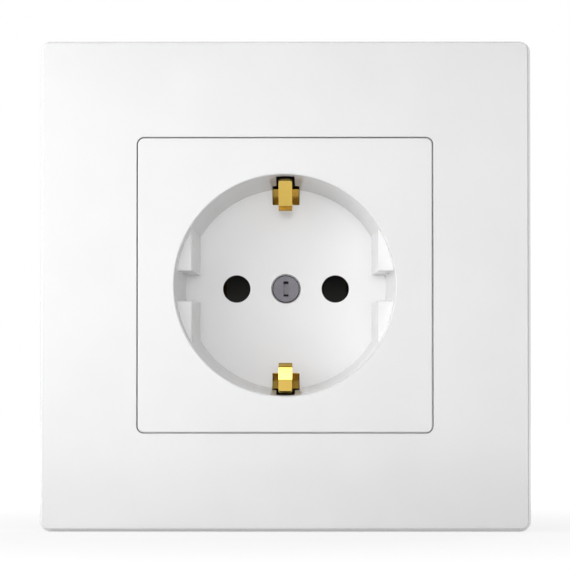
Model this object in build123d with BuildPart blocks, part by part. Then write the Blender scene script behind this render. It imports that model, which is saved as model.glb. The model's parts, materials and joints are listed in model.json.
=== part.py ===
from build123d import *
import os

# Flush wall socket for plugs with two round pins and side earth contacts.
# Millimetres. X points right, Y into the wall, Z up. The wall's surface is the plane Y = 0,
# and the origin lies midway between the two box screws that hold the socket.

# Cover frame
frame_size = 92.2
frame_height = 10.0
frame_corner_radius = 2.0
frame_edge_radius = 0.25
frame_draft_depth = 3.8
frame_draft_angle = 9.7
frame_side_wall = 2.0
frame_front_wall = 2.2
window_edge_radius = 0.15
collar_wall = 1.8
ledge_width = 2.3
ledge_thickness = 1.6
frame_rib_thickness = 1.0
frame_rib_pitch = 22.0
frame_rib_setback = 3.4
strap_to_collar_gap = 0.3

# Centre plate with its round recess
plate_size = 55.0
plate_thickness = 2.2
plate_corner_radius = 1.2
plate_edge_radius = 0.2
plate_gap = 0.2
mouth_radius = 20.74
mouth_edge_radius = 0.25
recess_depth = 17.5
recess_draft = 1.47
recess_wall = 1.6
recess_floor_thickness = 2.4

# Guide ribs at the left and right of the recess, each split by a notch
rib_setback = 3.2
rib_flat_x = 16.5
rib_draft = 1.0
rib_edge_radius = 0.2
notch_width = 5.4
notch_draft = 0.1

# Windows for the earth clips, at the top and bottom of the recess
clip_slot_width = 3.55
clip_slot_start = 2.3
clip_window_width = 5.2
clip_window_start = 13.0
clip_window_reach = 3.07

# Pins of the plug
pin_spacing = 19.0
pin_hole_radius = 2.65
pin_radius = 2.4
pin_length = 19.0
pin_way_clearance = 0.8

# Centre screw
screw_head_radius = 2.63
screw_head_height = 1.4
screw_head_chamfer = 0.15
screw_head_clearance = 0.25
screw_shank_radius = 1.5
screw_shank_clearance = 0.2
screw_length = 7.0
screw_slot_depth = 0.2
screw_slot_setback = 0.25
cross_width = 0.97
cross_length = 2.9
cross_depth = 1.2
cross_end_run = 0.44
slot_width = 0.8
thread_clearance = 0.05

# Mounting strap
strap_size = 71.0
strap_thickness = 1.2
strap_corner_radius = 4.0
strap_flange_length = 40.0
strap_flange_height = 1.6
strap_opening_clearance = 1.0
box_screw_spacing = 60.0
box_screw_hole_radius = 2.1
box_screw_slot_length = 10.0

# Socket base
base_cavity_clearance = 0.8
base_wall = 1.7
deck_thickness = 2.5
chamber_margin = 1.5
partition_thickness = 1.0
partition_x = 5.0
shelf_z = 5.0
boss_radius = 2.6
boss_wall_overlap = 0.6
lug_radius = 3.0
lug_thickness = 3.0
seat_clearance = 0.2

# Rivets between strap and base
rivet_radius = 1.5
rivet_head_radius = 2.6
rivet_head_height = 0.9
rivet_tail_radius = 2.1
rivet_tail_height = 0.7
rivet_edge_radius = 0.5
rivet_count = 4

# Rear cover and its screws
rear_cover_thickness = 2.2
rear_cover_edge_radius = 0.6
collar_radius = 4.2
collar_height = 1.0
cover_screw_head_radius = 2.4
cover_screw_radius = 1.25
cover_screw_length = 8.0
cover_screw_head_height = 1.2
cover_screw_slot_depth = 0.35

# Earth bow, bent from brass strip. Depths are measured from the mouth of the recess.
strip_thickness = 0.8
bow_width = 5.0
bow_centre_radius = 4.5
bow_collar_radius = 2.6
bow_collar_height = 1.6
bow_bend_radius = 0.8
bow_foot_rise = 2.1
bow_foot_run = 1.2
bow_slope_rise = 3.6
bow_slope_clearance = 0.5
leg_offset = 0.43
wing_setback = 0.33
tongue_width = 2.57
tongue_nose_reach = 5.17
tongue_nose_depth = 8.2
tongue_knee_reach = 4.25
tongue_knee_depth = 6.85
tongue_flare_reach = 1.88
tongue_flare_depth = 4.9
tongue_tip_reach = 0.26
tongue_tip_depth = 3.6
tongue_corner_radius = 0.5
earth_arm_x = 3.8
earth_arm_bend_radius = 1.0

# Pin contacts, bent from brass strip, and the steel springs that clasp them
contact_thickness = 0.7
contact_width = 6.0
contact_pinch = 4.4
contact_flare = 0.75
contact_belly = 0.45
contact_mouth_gap = 1.0
contact_pinch_depth = 4.6
contact_belly_depth = 10.6
contact_bend_radius = 0.8
spring_thickness = 0.4
spring_height = 4.0
spring_clearance = 0.4
spring_drop = 4.0
spring_rise = 2.5
spring_bend_radius = 0.8
spring_setback = 3.1

# Clamp terminals, set out from the wall of the base's cavity
terminal_angle = 40.07
terminal_clearance = 1.17
earth_terminal_x = -0.4
earth_terminal_setback = 9.3
clamp_plate_size = 6.6
clamp_plate_thickness = 2.0
clamp_plate_corner_radius = 0.8
wire_gap = 2.7
wire_window_width = 7.0
terminal_screw_radius = 1.75
terminal_screw_clearance = 0.15
terminal_head_radius = 2.5
terminal_head_height = 1.8
terminal_slot_width = 0.9
terminal_slot_depth = 0.8
terminal_screw_tip = 2.0
terminal_access_clearance = 0.4
head_chamfer = 0.25

# Depths along Y that the pieces share
front_y = -frame_height
plate_rear_y = front_y + plate_thickness
floor_y = front_y + recess_depth
deck_front_y = floor_y + recess_floor_thickness
deck_rear_y = deck_front_y + deck_thickness
web_rear_y = deck_front_y + strip_thickness
base_rear_y = floor_y + pin_length + chamber_margin
cover_rear_y = base_rear_y + rear_cover_thickness

# Radii that the pieces share
recess_floor_radius = mouth_radius - recess_draft
leg_radius = recess_floor_radius + leg_offset
clip_window_floor_z = recess_floor_radius - clip_window_reach
pin_x = pin_spacing / 2
pin_way_radius = pin_radius + pin_way_clearance


def recess_radius(y):
    """Radius of the recess's wall at this depth."""
    return mouth_radius - recess_draft * (y - front_y) / recess_depth


strap_opening_radius = recess_radius(-strap_thickness) + recess_wall + strap_opening_clearance
base_cavity_radius = recess_radius(0) + recess_wall + base_cavity_clearance
base_radius = base_cavity_radius + base_wall
rivet_circle_radius = base_radius + rivet_tail_radius + seat_clearance
boss_x = base_cavity_radius - boss_radius + boss_wall_overlap
window_size = plate_size + 2 * plate_gap
ledge_opening = window_size - 2 * ledge_width
collar_size = window_size + 2 * collar_wall
clamp_plate_diagonal = clamp_plate_size * 2**0.5
terminal_circle_radius = base_cavity_radius - clamp_plate_diagonal / 2 - terminal_clearance
pole_terminal = Vector(terminal_circle_radius, 0).rotate(Axis.Z, -terminal_angle)
earth_terminal_z = earth_terminal_setback - base_cavity_radius
terminals = {
    "line": (-pole_terminal.X, pole_terminal.Y),
    "neutral": (pole_terminal.X, pole_terminal.Y),
    "earth": (earth_terminal_x, earth_terminal_z),
}


def facing_front(y):
    """Plane across the socket at this depth: local x is X, local y is Z, and the normal is -Y."""
    return Plane.XZ.offset(-y)


def square_prism(size, corner_radius, rear_y, length, mode=Mode.ADD):
    """Square block with rounded corners, centred on the socket's axis, from rear_y forwards."""
    with BuildSketch(facing_front(rear_y)) as outline:
        RectangleRounded(size, size, corner_radius)
    extrude(outline.sketch, amount=length, mode=mode)


def round_prism(radius, rear_y, length, places=((0, 0),), mode=Mode.ADD):
    """Cylinders along Y at the given places, from rear_y forwards."""
    with BuildSketch(facing_front(rear_y)) as circles:
        with Locations(*places):
            Circle(radius)
    extrude(circles.sketch, amount=length, mode=mode)


# Cover frame: a hollow shell whose window has a ledge for the centre plate
frame_inner_size = frame_size - 2 * frame_side_wall
frame_inner_corner = frame_corner_radius / 2
frame_hollow_y = front_y + frame_front_wall
collar_rear_y = -strap_thickness - strap_to_collar_gap
ledge_rear_y = plate_rear_y + ledge_thickness
rim_width = (frame_inner_size - collar_size) / 2
rim_middle = (frame_inner_size + collar_size) / 2
with BuildPart() as cover_frame:
    shoulder_y = front_y + frame_draft_depth
    with BuildSketch(facing_front(shoulder_y)):
        RectangleRounded(frame_size, frame_size, frame_corner_radius)
    extrude(amount=frame_draft_depth, taper=frame_draft_angle)
    square_prism(frame_size, frame_corner_radius, 0, -shoulder_y)
    fillet(cover_frame.faces().sort_by(Axis.Y)[0].edges(), frame_edge_radius)
    square_prism(frame_inner_size, frame_inner_corner, 0, -frame_hollow_y, Mode.SUBTRACT)
    collar_corner = plate_corner_radius + collar_wall
    square_prism(collar_size, collar_corner, collar_rear_y, collar_rear_y - frame_hollow_y)
    with BuildSketch(facing_front(-frame_rib_setback)):
        with GridLocations(frame_rib_pitch, rim_middle, 3, 2):
            Rectangle(frame_rib_thickness, rim_width)
        with GridLocations(rim_middle, frame_rib_pitch, 2, 3):
            Rectangle(rim_width, frame_rib_thickness)
    extrude(amount=-frame_rib_setback - frame_hollow_y)
    window_corner = plate_corner_radius + plate_gap
    square_prism(window_size, window_corner, collar_rear_y, collar_rear_y - ledge_rear_y, Mode.SUBTRACT)
    square_prism(ledge_opening, plate_corner_radius, ledge_rear_y, ledge_rear_y - front_y, Mode.SUBTRACT)
    square_prism(window_size, window_corner, plate_rear_y, plate_thickness, Mode.SUBTRACT)
    window_face = cover_frame.faces().sort_by(Axis.Y)[0]
    fillet(window_face.inner_wires()[0].edges(), window_edge_radius)


def rib_section(side, half, y, flat_x, notch_half):
    """Section at this depth of one half of a guide rib, from its flat and its notch into the wall."""
    across = Align.MIN if side > 0 else Align.MAX
    upwards = Align.MIN if half > 0 else Align.MAX
    with BuildSketch(facing_front(y)) as section:
        with Locations((side * flat_x, half * notch_half)):
            Rectangle(rib_outer_x - flat_x, mouth_radius - notch_half, align=(across, upwards))
    return section.sketch


# Hollow of the recess: a cone with the two split guide ribs left standing
rib_front_y = front_y + rib_setback
rib_outer_x = mouth_radius + recess_wall / 2
notch_half = notch_width / 2
with BuildPart() as recess:
    with BuildSketch(Plane.XY):
        with BuildLine():
            Polyline(
                (0, front_y),
                (mouth_radius, front_y),
                (recess_floor_radius, floor_y),
                (0, floor_y),
                close=True,
            )
        make_face()
    revolve(axis=Axis.Y)
    for side in (-1, 1):
        for half in (-1, 1):
            foot = rib_section(side, half, floor_y, rib_flat_x, notch_half)
            top = rib_section(side, half, rib_front_y, rib_flat_x + rib_draft, notch_half + notch_draft)
            loft([foot, top], ruled=True, mode=Mode.SUBTRACT)

# Centre plate: a square plate and the round cup of the recess, moulded in one piece
with BuildPart() as centre_plate:
    square_prism(plate_size, plate_corner_radius, plate_rear_y, plate_thickness)
    fillet(centre_plate.faces().sort_by(Axis.Y)[0].edges(), plate_edge_radius)
    with BuildSketch(Plane.XY):
        with BuildLine():
            Polyline(
                (0, plate_rear_y),
                (recess_radius(plate_rear_y) + recess_wall, plate_rear_y),
                (recess_radius(deck_front_y) + recess_wall, deck_front_y),
                (0, deck_front_y),
                close=True,
            )
        make_face()
    revolve(axis=Axis.Y)
    add(recess.part, mode=Mode.SUBTRACT)
    window_inner_z = recess_floor_radius - recess_wall
    window_outer_z = mouth_radius + 2 * recess_wall
    slot_front_y = front_y + clip_slot_start
    window_front_y = front_y + clip_window_start
    with BuildSketch(facing_front(window_front_y)):
        with GridLocations(0, window_inner_z + window_outer_z, 1, 2):
            Rectangle(clip_slot_width, window_outer_z - window_inner_z)
    extrude(amount=window_front_y - slot_front_y, mode=Mode.SUBTRACT)
    with BuildSketch(facing_front(deck_front_y)):
        with GridLocations(0, clip_window_floor_z + window_outer_z, 1, 2):
            Rectangle(clip_window_width, window_outer_z - clip_window_floor_z)
    extrude(amount=deck_front_y - window_front_y, mode=Mode.SUBTRACT)
    pin_places = ((-pin_x, 0), (pin_x, 0))
    round_prism(pin_hole_radius, deck_front_y, recess_floor_thickness, pin_places, Mode.SUBTRACT)
    head_seat_y = floor_y + screw_head_height
    shank_hole_radius = screw_shank_radius + screw_shank_clearance
    head_hole_radius = screw_head_radius + screw_head_clearance
    round_prism(shank_hole_radius, deck_front_y, recess_floor_thickness, mode=Mode.SUBTRACT)
    round_prism(head_hole_radius, head_seat_y, screw_head_height, mode=Mode.SUBTRACT)
    plate_face = centre_plate.faces().sort_by(Axis.Y)[0]
    fillet(plate_face.inner_wires()[0].edges(), mouth_edge_radius)
    rib_front_edges = (
        centre_plate.edges()
        .filter_by(GeomType.LINE)
        .filter_by_position(Axis.Y, rib_front_y - thread_clearance, rib_front_y + thread_clearance)
    )
    fillet(rib_front_edges, rib_edge_radius)

# Centre screw: a shallow slot across the head, and a deep upright one with sloping ends
cross_half = cross_length / 2
cross_floor_half = cross_half - cross_end_run
with BuildPart() as centre_screw:
    round_prism(screw_head_radius, head_seat_y, screw_head_height)
    chamfer(centre_screw.edges().group_by(Axis.Y)[0], screw_head_chamfer)
    round_prism(screw_shank_radius, head_seat_y + screw_length, screw_length)
    with BuildSketch(facing_front(floor_y + screw_slot_depth)):
        Rectangle(2 * (screw_head_radius - screw_slot_setback), slot_width)
    extrude(amount=screw_slot_depth, mode=Mode.SUBTRACT)
    with BuildSketch(Plane.YZ):
        with BuildLine():
            Polyline(
                (floor_y, cross_half),
                (floor_y + cross_depth, cross_floor_half),
                (floor_y + cross_depth, -cross_floor_half),
                (floor_y, -cross_half),
                close=True,
            )
        make_face()
    extrude(amount=cross_width / 2, both=True, mode=Mode.SUBTRACT)

# Mounting strap, pressed from zinc-plated sheet
rivet_angle = 180 / rivet_count
flange_middle = strap_size - strap_thickness
with BuildPart() as mounting_strap:
    with BuildSketch(facing_front(0)):
        RectangleRounded(strap_size, strap_size, strap_corner_radius)
        Circle(strap_opening_radius, mode=Mode.SUBTRACT)
        with GridLocations(box_screw_spacing, 0, 2, 1):
            Circle(box_screw_hole_radius, mode=Mode.SUBTRACT)
        with GridLocations(0, box_screw_spacing, 1, 2):
            SlotOverall(box_screw_slot_length, 2 * box_screw_hole_radius, mode=Mode.SUBTRACT)
        with PolarLocations(rivet_circle_radius, rivet_count, rivet_angle):
            Circle(rivet_radius + thread_clearance, mode=Mode.SUBTRACT)
    extrude(amount=strap_thickness)
    with BuildSketch(facing_front(-strap_thickness)):
        with GridLocations(0, flange_middle, 1, 2):
            Rectangle(strap_flange_length, strap_thickness)
        with GridLocations(flange_middle, 0, 2, 1):
            Rectangle(strap_thickness, strap_flange_length)
    extrude(amount=strap_flange_height)

# Socket base: the front cavity takes the cup, and the rear chambers hold the contacts
clamp_front_y = base_rear_y - contact_thickness - wire_gap
arm_slot_width = strip_thickness + 2 * seat_clearance
with BuildPart() as socket_base:
    round_prism(base_radius, base_rear_y, base_rear_y)
    with BuildSketch(facing_front(lug_thickness)):
        with PolarLocations(rivet_circle_radius, rivet_count, rivet_angle):
            Circle(lug_radius)
            Rectangle(2 * lug_radius, 2 * lug_radius, align=(Align.MAX, Align.CENTER))
    extrude(amount=lug_thickness)
    round_prism(base_cavity_radius, deck_front_y, deck_front_y, mode=Mode.SUBTRACT)
    with BuildSketch(facing_front(base_rear_y)):
        Circle(base_cavity_radius)
        with GridLocations(2 * partition_x, 0, 2, 1):
            Rectangle(partition_thickness, 2 * base_radius, mode=Mode.SUBTRACT)
        with GridLocations(2 * partition_x + base_radius, 0, 2, 1):
            with Locations((0, shelf_z + partition_thickness / 2)):
                Rectangle(base_radius, partition_thickness, mode=Mode.SUBTRACT)
        with GridLocations(2 * boss_x, 0, 2, 1):
            Circle(boss_radius, mode=Mode.SUBTRACT)
    extrude(amount=base_rear_y - deck_rear_y, mode=Mode.SUBTRACT)
    boss_places = ((-boss_x, 0), (boss_x, 0))
    screw_hole_radius = cover_screw_radius + thread_clearance
    round_prism(screw_hole_radius, base_rear_y, cover_screw_length, boss_places, Mode.SUBTRACT)
    round_prism(pin_way_radius, deck_rear_y, deck_thickness, pin_places, Mode.SUBTRACT)
    round_prism(bow_collar_radius + seat_clearance, deck_rear_y, deck_thickness, mode=Mode.SUBTRACT)
    with BuildSketch(facing_front(web_rear_y)):
        Rectangle(bow_width + 2 * seat_clearance, 2 * base_cavity_radius)
        Circle(bow_centre_radius + seat_clearance)
        with Locations((0, earth_terminal_z)):
            Rectangle(
                earth_arm_x + arm_slot_width / 2,
                clamp_plate_size + 2 * seat_clearance,
                align=(Align.MIN, Align.CENTER),
            )
    extrude(amount=strip_thickness, mode=Mode.SUBTRACT)
    with BuildSketch(facing_front(deck_rear_y)):
        with Locations((earth_arm_x + arm_slot_width / 2, earth_terminal_z)):
            Rectangle(
                arm_slot_width / 2 + earth_arm_bend_radius,
                clamp_plate_size + 2 * seat_clearance,
                align=(Align.MAX, Align.CENTER),
            )
    extrude(amount=deck_thickness, mode=Mode.SUBTRACT)
    with BuildSketch(facing_front(lug_thickness)):
        with PolarLocations(rivet_circle_radius, rivet_count, rivet_angle):
            Circle(rivet_radius + thread_clearance)
    extrude(amount=lug_thickness, mode=Mode.SUBTRACT)
    for place_x, place_z in terminals.values():
        with BuildSketch(Plane.XY.offset(place_z)):
            with Locations((place_x, base_rear_y)):
                Rectangle(wire_window_width, base_rear_y - clamp_front_y, align=(Align.CENTER, Align.MAX))
        extrude(amount=-base_radius, mode=Mode.SUBTRACT)

# Rear cover, with a collar round the way in to each terminal screw
access_radius = terminal_head_radius + terminal_access_clearance
cover_head_y = cover_rear_y - cover_screw_head_height
with BuildPart() as rear_cover:
    terminal_places = tuple(terminals.values())
    tower_rear_y = cover_rear_y + collar_height
    round_prism(base_radius, cover_rear_y, rear_cover_thickness)
    fillet(rear_cover.edges().group_by(Axis.Y)[-1], rear_cover_edge_radius)
    round_prism(collar_radius, tower_rear_y, collar_height, terminal_places)
    round_prism(access_radius, tower_rear_y, tower_rear_y - base_rear_y, terminal_places, Mode.SUBTRACT)
    cover_hole_radius = cover_screw_radius + seat_clearance
    cover_head_hole_radius = cover_screw_head_radius + seat_clearance
    round_prism(cover_hole_radius, cover_rear_y, rear_cover_thickness, boss_places, Mode.SUBTRACT)
    round_prism(cover_head_hole_radius, cover_rear_y, cover_screw_head_height, boss_places, Mode.SUBTRACT)


def upright_strip(points, radius, width):
    """Strip of the bow's thickness along a route in the plane X = 0, given as (depth Y, height Z)."""
    with BuildSketch(Plane.YZ) as side_view:
        with BuildLine() as route:
            FilletPolyline(*points, radius=radius)
        trace(route.edges(), strip_thickness)
    extrude(side_view.sketch, amount=width / 2, both=True)


def at_recess(depth, reach):
    """Point of an earth clip: depth below the mouth, and reach inwards from the leg."""
    return (front_y + depth, leg_radius - reach)


# Earth bow: one strip behind the recess's floor, which slopes forwards in two steps into two short
# wings and a sprung tongue at each end
web_y = deck_front_y + strip_thickness / 2
slope_foot = Vector(web_y, clip_window_floor_z + bow_slope_clearance)
slope_bend = slope_foot + Vector(-bow_foot_rise, bow_foot_run)
slope_top = Vector(web_y - bow_slope_rise, leg_radius)
wing_tip = slope_top + (slope_bend - slope_top).normalized() * wing_setback
bow_collar_y = web_rear_y + bow_collar_height
earth_tail_y = base_rear_y - strip_thickness / 2
with BuildPart() as earth_bow:
    upright_strip(((web_y, 0), slope_foot, slope_bend, wing_tip), bow_bend_radius, bow_width)
    upright_strip(
        (
            slope_foot,
            slope_bend,
            slope_top,
            (window_front_y, leg_radius),
            at_recess(tongue_nose_depth, tongue_nose_reach),
            at_recess(tongue_knee_depth, tongue_knee_reach),
            at_recess(tongue_flare_depth, tongue_flare_reach),
            at_recess(tongue_tip_depth, -tongue_tip_reach),
        ),
        bow_bend_radius,
        tongue_width,
    )
    tip_corners = (
        earth_bow.edges()
        .filter_by(lambda edge: abs(edge.length - strip_thickness) < thread_clearance)
        .group_by(Axis.Y)[0]
    )
    fillet(tip_corners, tongue_corner_radius)
    mirror(about=Plane.XY)
    round_prism(bow_centre_radius, web_rear_y, strip_thickness)
    round_prism(bow_collar_radius, bow_collar_y, bow_collar_height)
    with BuildSketch(Plane.XY.offset(earth_terminal_z)):
        with BuildLine() as arm_route:
            FilletPolyline(
                (0, web_y),
                (earth_arm_x, web_y),
                (earth_arm_x, earth_tail_y),
                (earth_terminal_x - clamp_plate_size / 2, earth_tail_y),
                radius=earth_arm_bend_radius,
            )
        trace(arm_route.edges(), strip_thickness)
    extrude(amount=clamp_plate_size / 2, both=True)
    bow_hole_radius = screw_shank_radius + thread_clearance
    round_prism(bow_hole_radius, bow_collar_y, bow_collar_y - deck_front_y, mode=Mode.SUBTRACT)
    tail_hole_radius = terminal_screw_radius + terminal_screw_clearance
    round_prism(tail_hole_radius, base_rear_y, strip_thickness, (terminals["earth"],), Mode.SUBTRACT)


def pin_contact(side, place):
    """Contact for one pin: a channel, its sides sprung as two leaves, and a tail to the terminal."""
    leaf_x = contact_pinch / 2 + contact_thickness / 2
    outer_x = leaf_x + contact_flare
    belly_x = leaf_x + contact_belly
    mouth_y = deck_rear_y + contact_mouth_gap
    channel_front_y = deck_rear_y + contact_belly_depth
    tail_y = base_rear_y - contact_thickness / 2
    channel_rear_y = tail_y - contact_bend_radius
    channel_foot_z = -contact_width / 2 - contact_bend_radius
    tail_foot_z = place[1] + clamp_plate_size / 2 - contact_thickness
    with BuildPart() as contact:
        for edge in (-1, 1):
            with BuildSketch(Plane.XY):
                with BuildLine() as leaf_route:
                    FilletPolyline(
                        (side * pin_x + edge * outer_x, mouth_y),
                        (side * pin_x + edge * leaf_x, deck_rear_y + contact_pinch_depth),
                        (side * pin_x + edge * belly_x, channel_front_y),
                        (side * pin_x + edge * belly_x, channel_rear_y),
                        radius=contact_bend_radius,
                    )
                trace(leaf_route.edges(), contact_thickness)
            extrude(amount=contact_width / 2, both=True)
        with BuildSketch(facing_front(channel_rear_y)):
            with BuildLine() as channel_route:
                FilletPolyline(
                    (side * pin_x - belly_x, 0),
                    (side * pin_x - belly_x, channel_foot_z),
                    (side * pin_x + belly_x, channel_foot_z),
                    (side * pin_x + belly_x, 0),
                    radius=contact_bend_radius,
                )
            trace(channel_route.edges(), contact_thickness)
        extrude(amount=channel_rear_y - channel_front_y)
        with BuildSketch(Plane.YZ.offset(side * pin_x)):
            with BuildLine() as tail_route:
                FilletPolyline(
                    (channel_front_y, channel_foot_z),
                    (tail_y, channel_foot_z),
                    (tail_y, tail_foot_z),
                    radius=contact_bend_radius,
                )
            trace(tail_route.edges(), contact_thickness)
        extrude(amount=belly_x - contact_bend_radius, both=True)
        with BuildSketch(facing_front(base_rear_y)):
            with Locations(place):
                Rectangle(clamp_plate_size, clamp_plate_size)
        extrude(amount=contact_thickness)
        round_prism(tail_hole_radius, base_rear_y, contact_thickness, (place,), Mode.SUBTRACT)
    return contact.part


def contact_spring(side):
    """Steel spring bent round three sides of a pin contact, near its pinch."""
    outer_x = contact_pinch / 2 + contact_thickness + spring_clearance + spring_thickness / 2
    with BuildPart() as spring:
        with BuildSketch(facing_front(deck_rear_y + spring_setback + spring_height)):
            with BuildLine() as hoop:
                FilletPolyline(
                    (side * pin_x - outer_x, spring_rise),
                    (side * pin_x - outer_x, -spring_drop),
                    (side * pin_x + outer_x, -spring_drop),
                    (side * pin_x + outer_x, spring_rise),
                    radius=spring_bend_radius,
                )
            trace(hoop.edges(), spring_thickness)
        extrude(amount=spring_height)
    return spring.part


def clamp_plate(place):
    """Tapped plate that the terminal screw draws against the wire."""
    plate_rear = clamp_front_y
    with BuildPart() as plate:
        with BuildSketch(facing_front(plate_rear)):
            with Locations(place):
                RectangleRounded(clamp_plate_size, clamp_plate_size, clamp_plate_corner_radius)
                Circle(terminal_screw_radius + thread_clearance, mode=Mode.SUBTRACT)
        extrude(amount=clamp_plate_thickness)
    return plate.part


def terminal_screw(place):
    """Clamping screw with a slotted cheese head, put in from behind."""
    head_rear_y = base_rear_y + terminal_head_height
    tip_y = clamp_front_y - clamp_plate_thickness - terminal_screw_tip
    with BuildPart() as screw:
        round_prism(terminal_head_radius, head_rear_y, terminal_head_height, (place,))
        chamfer(screw.edges().group_by(Axis.Y)[-1], head_chamfer)
        round_prism(terminal_screw_radius, base_rear_y, base_rear_y - tip_y, (place,))
        with BuildSketch(facing_front(head_rear_y)):
            with Locations(place):
                Rectangle(2 * terminal_head_radius, terminal_slot_width)
        extrude(amount=terminal_slot_depth, mode=Mode.SUBTRACT)
    return screw.part


def strap_rivet(angle):
    """Rivet through the strap and a lug of the base, domed in front and upset behind."""
    with BuildPart() as rivet:
        centre = Vector(rivet_circle_radius, 0).rotate(Axis.Z, angle)
        place = ((centre.X, centre.Y),)
        round_prism(rivet_head_radius, -strap_thickness, rivet_head_height, place)
        fillet(rivet.edges().group_by(Axis.Y)[0], rivet_edge_radius)
        round_prism(rivet_radius, lug_thickness, lug_thickness + strap_thickness, place)
        round_prism(rivet_tail_radius, lug_thickness + rivet_tail_height, rivet_tail_height, place)
    return rivet.part


def rear_cover_screw(place):
    """Screw that holds the rear cover to a boss of the base."""
    with BuildPart() as screw:
        round_prism(cover_screw_head_radius, cover_rear_y, cover_screw_head_height, (place,))
        chamfer(screw.edges().group_by(Axis.Y)[-1], head_chamfer)
        shank_length = cover_head_y - base_rear_y + cover_screw_length
        round_prism(cover_screw_radius, cover_head_y, shank_length, (place,))
        with BuildSketch(facing_front(cover_rear_y)):
            with Locations(place):
                Rectangle(2 * cover_screw_head_radius, slot_width)
        extrude(amount=cover_screw_slot_depth, mode=Mode.SUBTRACT)
    return screw.part


pieces = {
    "cover_frame": cover_frame.part,
    "centre_plate": centre_plate.part,
    "centre_screw": centre_screw.part,
    "mounting_strap": mounting_strap.part,
    "socket_base": socket_base.part,
    "rear_cover": rear_cover.part,
    "earth_bow": earth_bow.part,
}
for pole, side in (("line", -1), ("neutral", 1)):
    pieces[f"{pole}_contact"] = pin_contact(side, terminals[pole])
    pieces[f"{pole}_contact_spring"] = contact_spring(side)
    pieces[f"rear_cover_screw_{pole}_side"] = rear_cover_screw((side * boss_x, 0))
for pole, place in terminals.items():
    pieces[f"{pole}_clamp_plate"] = clamp_plate(place)
    pieces[f"{pole}_terminal_screw"] = terminal_screw(place)
for number in range(rivet_count):
    pieces[f"strap_rivet_{number + 1}"] = strap_rivet(rivet_angle + number * 360 / rivet_count)

os.makedirs("parts", exist_ok=True)
for name, part in pieces.items():
    part.label = name
    export_step(part, f"parts/{name}.step")
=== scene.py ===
"""Looks of the flush wall socket: materials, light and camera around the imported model."""

import json
import math

import bpy
from mathutils import Euler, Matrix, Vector


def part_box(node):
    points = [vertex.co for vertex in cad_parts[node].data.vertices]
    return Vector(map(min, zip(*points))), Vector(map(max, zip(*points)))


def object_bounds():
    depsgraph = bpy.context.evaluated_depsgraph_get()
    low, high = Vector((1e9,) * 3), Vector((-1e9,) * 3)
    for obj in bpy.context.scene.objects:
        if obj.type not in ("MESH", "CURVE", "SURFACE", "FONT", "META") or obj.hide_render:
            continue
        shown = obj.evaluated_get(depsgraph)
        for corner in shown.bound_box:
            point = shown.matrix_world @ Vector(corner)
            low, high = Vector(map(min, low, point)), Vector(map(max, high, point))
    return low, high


MM = 0.001
IMAGE_SIDE_PX = 570

# The camera: its distance from the front face, and its place beside and below the socket's middle
CAMERA_DISTANCE = 528 * MM
CAMERA_RIGHT = 5.8 * MM
CAMERA_BELOW = 22.7 * MM
CAMERA_CLIP_START = 10 * MM
FOCAL_PX = 2831
SENSOR_MM = 36
# How much of the view off the axis is lens shift; the rest is tilt
SHIFT_SHARE = 0.4

# Colours, linear
WHITE = (1, 1, 1, 1)
WHITE_PLASTIC = (0.90, 0.90, 0.905, 1)
WHITE_PLASTIC_SHADE = (0.875, 0.875, 0.885, 1)
BASE_PLASTIC = (0.022, 0.022, 0.025, 1)
COVER_PLASTIC = (0.09, 0.092, 0.097, 1)
BRASS = (0.76, 0.53, 0.125, 1)
BRASS_DARK = (0.70, 0.48, 0.11, 1)
ZINC = (0.48, 0.48, 0.51, 1)
ZINC_DARK = (0.41, 0.41, 0.44, 1)
SCREW_STEEL = (0.125, 0.12, 0.133, 1)
SCREW_STEEL_DARK = (0.105, 0.10, 0.112, 1)
SPRING_STEEL = (0.20, 0.21, 0.24, 1)
FLOOR_PAPER = (0.62, 0.62, 0.62, 1)

# Where the noise turns from a material's first colour to its second
FIRST_COLOUR_UP_TO = 0.35
SECOND_COLOUR_FROM = 0.65

# White plastic. A noise scale is about the number of features in a metre
WHITE_TONE_SCALE = 60
WHITE_GLOSS_SCALE = 900
WHITE_WAVE_SCALE = 700
WHITE_WAVE_DEPTH = 0.004 * MM
WHITE_WAVE_STRENGTH = 0.25
WHITE_ROUGHNESS_LOW = 0.16
WHITE_ROUGHNESS_HIGH = 0.24
WHITE_COAT = 0.15
WHITE_COAT_ROUGHNESS = 0.08

# Dull plastics: the colour of each, and what they share
DULL_PLASTICS = {"base_plastic": BASE_PLASTIC, "cover_plastic": COVER_PLASTIC}
DULL_SHADE = 0.92
DULL_TONE_SCALE = 250
DULL_GLOSS_SCALE = 1500
DULL_GRAIN_SCALE = 4500
DULL_GRAIN_DEPTH = 0.02 * MM
DULL_GRAIN_STRENGTH = 0.5
DULL_ROUGHNESS = 0.5
DULL_ROUGHNESS_SPREAD = 0.08
DULL_SPECULAR = 0.35

# Metals: two colours, roughness, stretch of the grain and scale of the tarnish, and what they share
METALS = {
    "zinc_steel": (ZINC, ZINC_DARK, 0.38, (1, 1, 1), 350),
    "brass": (BRASS, BRASS_DARK, 0.17, (8, 1, 1), 120),
    "screw_steel": (SCREW_STEEL, SCREW_STEEL_DARK, 0.42, (1, 1, 1), 500),
    "spring_steel": (SPRING_STEEL, ZINC_DARK, 0.35, (1, 8, 1), 200),
}
METAL_GRAIN_SCALE = 1500
METAL_GRAIN_DEPTH = 0.003 * MM
METAL_GRAIN_STRENGTH = 0.3
METAL_ROUGHNESS_SPREAD = 0.07

# The world: the light that it gives, and how bright it is seen
WORLD_LIGHT = 0.30
BACKDROP_STRENGTH = 1.0

# The floor: its side in metres, how much of its glow gives way at the socket's middle to lit paper,
# which shows the real shadow and also a painted shadow that is darker towards the socket, how many
# metres from the socket's middle that painted shadow ends, and how bright the glow is
FLOOR_SIDE = 6.0
FLOOR_SHADOW_AND_PAINTED_SHADE = 0.4
FLOOR_PAINTED_SHADOW_REACH = 0.25
FLOOR_GLOW = 1.15

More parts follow.
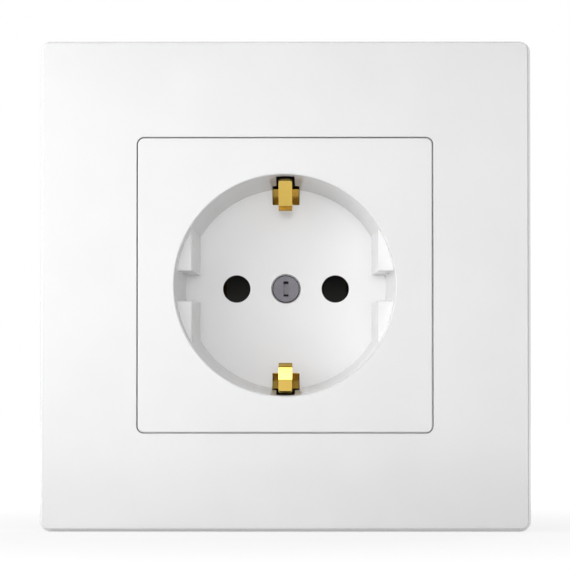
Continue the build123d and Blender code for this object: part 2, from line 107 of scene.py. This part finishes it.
# Lamps: place, side of the square, and power, in metres and watts
LAMPS = {
    "key": ((-0.20, -0.26, 0.03), 0.2, 0.25),
    "side": ((-0.26, -0.12, 0.06), 0.15, 0.325),
    "panel": ((0.0, -0.60, -0.02), 0.3, 0.99),
    "kicker": ((-0.02, -0.115, 0.60), 0.12, 0.2),
    "rear": ((0.25, 0.5, 0.35), 0.3, 1.2),
}


def new_material(name):
    """A material with a Principled shader, and its node tree, shader and object-space coordinates."""
    material = bpy.data.materials.new(name)
    material.use_nodes = True
    tree = material.node_tree
    shader = tree.nodes["Principled BSDF"]
    coordinates = tree.nodes.new("ShaderNodeTexCoord")
    return material, tree, shader, coordinates.outputs["Object"]


def stretch_coordinates(tree, coordinates, stretch):
    """The coordinates times a factor along each axis."""
    mapping = tree.nodes.new("ShaderNodeMapping")
    mapping.inputs["Scale"].default_value = stretch
    tree.links.new(coordinates, mapping.inputs["Vector"])
    return mapping.outputs["Vector"]


def noise(tree, coordinates, scale, detail=2):
    """Noise over the surface, with features about 1 / scale metres wide."""
    texture = tree.nodes.new("ShaderNodeTexNoise")
    texture.inputs["Scale"].default_value = scale
    texture.inputs["Detail"].default_value = detail
    tree.links.new(coordinates, texture.inputs["Vector"])
    return texture.outputs["Fac"]


def map_factor(tree, factor, low, high):
    """A value that is low where factor is 0 and high where it is 1."""
    spread = tree.nodes.new("ShaderNodeMapRange")
    spread.inputs["To Min"].default_value = low
    spread.inputs["To Max"].default_value = high
    tree.links.new(factor, spread.inputs["Value"])
    return spread.outputs["Result"]


def combine(tree, operation, first, second):
    """The result of a Math node's operation on two factors."""
    node = tree.nodes.new("ShaderNodeMath")
    node.operation = operation
    tree.links.new(first, node.inputs[0])
    tree.links.new(second, node.inputs[1])
    return node.outputs["Value"]


def blend_colours(tree, factor, first, second, target):
    """Feed target with a mix of two colours."""
    ramp = tree.nodes.new("ShaderNodeValToRGB")
    ramp.color_ramp.elements[0].position = FIRST_COLOUR_UP_TO
    ramp.color_ramp.elements[0].color = first
    ramp.color_ramp.elements[1].position = SECOND_COLOUR_FROM
    ramp.color_ramp.elements[1].color = second
    tree.links.new(factor, ramp.inputs["Fac"])
    tree.links.new(ramp.outputs["Color"], target)


def blend_shaders(tree, factor, first, second, target):
    """Feed target with the first shader where factor is 0, and with the second where it is 1."""
    choice = tree.nodes.new("ShaderNodeMixShader")
    tree.links.new(factor, choice.inputs["Fac"])
    tree.links.new(first, choice.inputs[1])
    tree.links.new(second, choice.inputs[2])
    tree.links.new(choice.outputs["Shader"], target)


def vary_roughness(tree, factor, low, high, shader):
    """Let the roughness wander between two values."""
    tree.links.new(map_factor(tree, factor, low, high), shader.inputs["Roughness"])


def add_bump(tree, height, depth, strength, shader):
    """Bump of the given depth in metres."""
    bump = tree.nodes.new("ShaderNodeBump")
    bump.inputs["Distance"].default_value = depth
    bump.inputs["Strength"].default_value = strength
    tree.links.new(height, bump.inputs["Height"])
    tree.links.new(bump.outputs["Normal"], shader.inputs["Normal"])


def white_plastic(name):
    """Glossy moulded plastic, with the faint waviness and tone of a moulded face."""
    material, tree, shader, at = new_material(name)
    tone = noise(tree, at, WHITE_TONE_SCALE)
    blend_colours(tree, tone, WHITE_PLASTIC, WHITE_PLASTIC_SHADE, shader.inputs["Base Color"])
    gloss = noise(tree, at, WHITE_GLOSS_SCALE, detail=3)
    vary_roughness(tree, gloss, WHITE_ROUGHNESS_LOW, WHITE_ROUGHNESS_HIGH, shader)
    wave = noise(tree, at, WHITE_WAVE_SCALE, detail=3)
    add_bump(tree, wave, WHITE_WAVE_DEPTH, WHITE_WAVE_STRENGTH, shader)
    shader.inputs["Coat Weight"].default_value = WHITE_COAT
    shader.inputs["Coat Roughness"].default_value = WHITE_COAT_ROUGHNESS
    return material


def dull_plastic(name, colour):
    """Moulded plastic with a fine spark-eroded grain."""
    material, tree, shader, at = new_material(name)
    darker = tuple(DULL_SHADE * c for c in colour[:3]) + (1,)
    blend_colours(tree, noise(tree, at, DULL_TONE_SCALE), colour, darker, shader.inputs["Base Color"])
    low = DULL_ROUGHNESS - DULL_ROUGHNESS_SPREAD
    high = DULL_ROUGHNESS + DULL_ROUGHNESS_SPREAD
    vary_roughness(tree, noise(tree, at, DULL_GLOSS_SCALE, detail=3), low, high, shader)
    grain = noise(tree, at, DULL_GRAIN_SCALE, detail=4)
    add_bump(tree, grain, DULL_GRAIN_DEPTH, DULL_GRAIN_STRENGTH, shader)
    shader.inputs["Specular IOR Level"].default_value = DULL_SPECULAR
    return material


def metal(name, colour, darker, roughness, grain_stretch, tarnish_scale):
    """Rolled or plated metal, with a grain that is finer along the axes where it is stretched."""
    material, tree, shader, at = new_material(name)
    shader.inputs["Metallic"].default_value = 1
    tarnish = noise(tree, at, tarnish_scale, detail=3)
    blend_colours(tree, tarnish, colour, darker, shader.inputs["Base Color"])
    grain = noise(tree, stretch_coordinates(tree, at, grain_stretch), METAL_GRAIN_SCALE, detail=3)
    low = roughness - METAL_ROUGHNESS_SPREAD
    high = roughness + METAL_ROUGHNESS_SPREAD
    vary_roughness(tree, grain, low, high, shader)
    add_bump(tree, grain, METAL_GRAIN_DEPTH, METAL_GRAIN_STRENGTH, shader)
    return material


def dress(nodes, subparts):
    """Give each node the material of its slot."""
    by_slot = {"white_plastic": white_plastic("white_plastic")}
    for slot, look in METALS.items():
        by_slot[slot] = metal(slot, *look)
    for slot, colour in DULL_PLASTICS.items():
        by_slot[slot] = dull_plastic(slot, colour)
    for entry in subparts:
        node = nodes[entry["node"]]
        node.data.materials.clear()
        node.data.materials.append(by_slot[entry["material_slot"]])


def add_object(name, data):
    """A new object in the scene."""
    added = bpy.data.objects.new(name, data)
    bpy.context.scene.collection.objects.link(added)
    return added


def camera_rays(tree):
    """A factor of 1 for what the camera, a mirror-like face or clear material sees, 0 for light."""
    path = tree.nodes.new("ShaderNodeLightPath")
    seen = combine(tree, "MAXIMUM", path.outputs["Is Camera Ray"], path.outputs["Is Glossy Ray"])
    return combine(tree, "MAXIMUM", seen, path.outputs["Is Transmission Ray"])


def white_background(tree, strength):
    """White light from all round."""
    background = tree.nodes.new("ShaderNodeBackground")
    background.inputs["Color"].default_value = WHITE
    background.inputs["Strength"].default_value = strength
    return background.outputs["Background"]


def make_world():
    """Even fill light, seen as plain white."""
    world = bpy.data.worlds.new("studio")
    bpy.context.scene.world = world
    world.use_nodes = True
    tree = world.node_tree
    tree.nodes.clear()
    fill = white_background(tree, WORLD_LIGHT)
    seen = white_background(tree, BACKDROP_STRENGTH)
    output = tree.nodes.new("ShaderNodeOutputWorld")
    blend_shaders(tree, camera_rays(tree), fill, seen, output.inputs["Surface"])


def painted_shadow_fade(tree):
    """A factor for the painted shadow: 1 at the socket's middle, falling to 0 where that painted shadow
    ends.
    """
    coordinates = tree.nodes.new("ShaderNodeTexCoord")
    fade = tree.nodes.new("ShaderNodeTexGradient")
    fade.gradient_type = "SPHERICAL"
    in_reaches = stretch_coordinates(tree, coordinates.outputs["Object"], (1 / FLOOR_PAINTED_SHADOW_REACH,) * 3)
    tree.links.new(in_reaches, fade.inputs["Vector"])
    return fade.outputs["Fac"]


def floor_material():
    """Pale paper that is seen white far off. Near the object it shows its real shadow and a painted
    shadow that is darker towards the socket's middle.
    """
    material = bpy.data.materials.new("floor")
    material.use_nodes = True
    tree = material.node_tree
    tree.nodes.clear()
    paper = tree.nodes.new("ShaderNodeBsdfDiffuse")
    paper.inputs["Color"].default_value = FLOOR_PAPER
    glow = tree.nodes.new("ShaderNodeEmission")
    glow.inputs["Color"].default_value = WHITE
    glow.inputs["Strength"].default_value = FLOOR_GLOW
    # Painted shadow: towards the socket's middle the glow gives way to the darker paper, over and above
    # the paper's real shadow
    glow_share = map_factor(tree, painted_shadow_fade(tree), 1, 1 - FLOOR_SHADOW_AND_PAINTED_SHADE)
    share = combine(tree, "MULTIPLY", camera_rays(tree), glow_share)
    output = tree.nodes.new("ShaderNodeOutputMaterial")
    blend_shaders(
        tree, share, paper.outputs["BSDF"], glow.outputs["Emission"], output.inputs["Surface"]
    )
    return material


def make_floor(level):
    """Pale floor that shows white, with a faint shadow of the object that is partly real and partly
    painted.
    """
    half = FLOOR_SIDE / 2
    corners = [(-half, -half, level), (half, -half, level), (half, half, level), (-half, half, level)]
    mesh = bpy.data.meshes.new("floor")
    mesh.from_pydata(corners, [], [(0, 1, 2, 3)])
    floor = add_object("floor", mesh)
    floor.data.materials.append(floor_material())


def make_camera(front):
    """The camera, at the photograph's place, aimed so that front is in the middle of the picture."""
    data = bpy.data.cameras.new("camera")
    camera = add_object("camera", data)
    data.sensor_width = SENSOR_MM
    data.lens = FOCAL_PX / IMAGE_SIDE_PX * SENSOR_MM
    data.clip_start = CAMERA_CLIP_START
    camera.location = front + Vector((CAMERA_RIGHT, -CAMERA_DISTANCE, -CAMERA_BELOW))
    data.shift_x = -SHIFT_SHARE * CAMERA_RIGHT / CAMERA_DISTANCE * FOCAL_PX / IMAGE_SIDE_PX
    data.shift_y = SHIFT_SHARE * CAMERA_BELOW / CAMERA_DISTANCE * FOCAL_PX / IMAGE_SIDE_PX
    left = math.atan((1 - SHIFT_SHARE) * CAMERA_RIGHT / CAMERA_DISTANCE)
    up = math.atan((1 - SHIFT_SHARE) * CAMERA_BELOW / CAMERA_DISTANCE)
    camera.rotation_euler = Euler((math.pi / 2 + up, 0, left))
    bpy.context.scene.camera = camera


def make_lamp(name, place, target, size, watts):
    """Square area lamp at place, facing target."""
    data = bpy.data.lights.new(name, "AREA")
    data.shape = "SQUARE"
    data.size = size
    data.energy = watts
    lamp = add_object(name, data)
    lamp.location = place
    lamp.rotation_euler = (Vector(target) - Vector(place)).to_track_quat("-Z", "Y").to_euler()


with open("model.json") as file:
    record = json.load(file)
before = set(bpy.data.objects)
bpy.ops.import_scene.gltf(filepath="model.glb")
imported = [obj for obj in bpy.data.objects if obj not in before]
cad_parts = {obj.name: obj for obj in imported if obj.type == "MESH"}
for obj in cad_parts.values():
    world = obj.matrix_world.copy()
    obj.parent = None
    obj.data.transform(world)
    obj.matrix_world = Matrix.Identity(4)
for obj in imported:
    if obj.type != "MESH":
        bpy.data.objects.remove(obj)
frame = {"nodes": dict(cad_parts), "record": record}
cad_low, cad_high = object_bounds()
bpy.context.scene.view_settings.view_transform = "Standard"

front_middle = Vector((0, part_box("centre_plate")[0].y, 0))
make_camera(front_middle)
make_world()
make_floor(cad_low[2])
for name, (place, size, watts) in LAMPS.items():
    make_lamp(name, place, front_middle, size, watts)

dress(frame["nodes"], frame["record"]["subparts"])
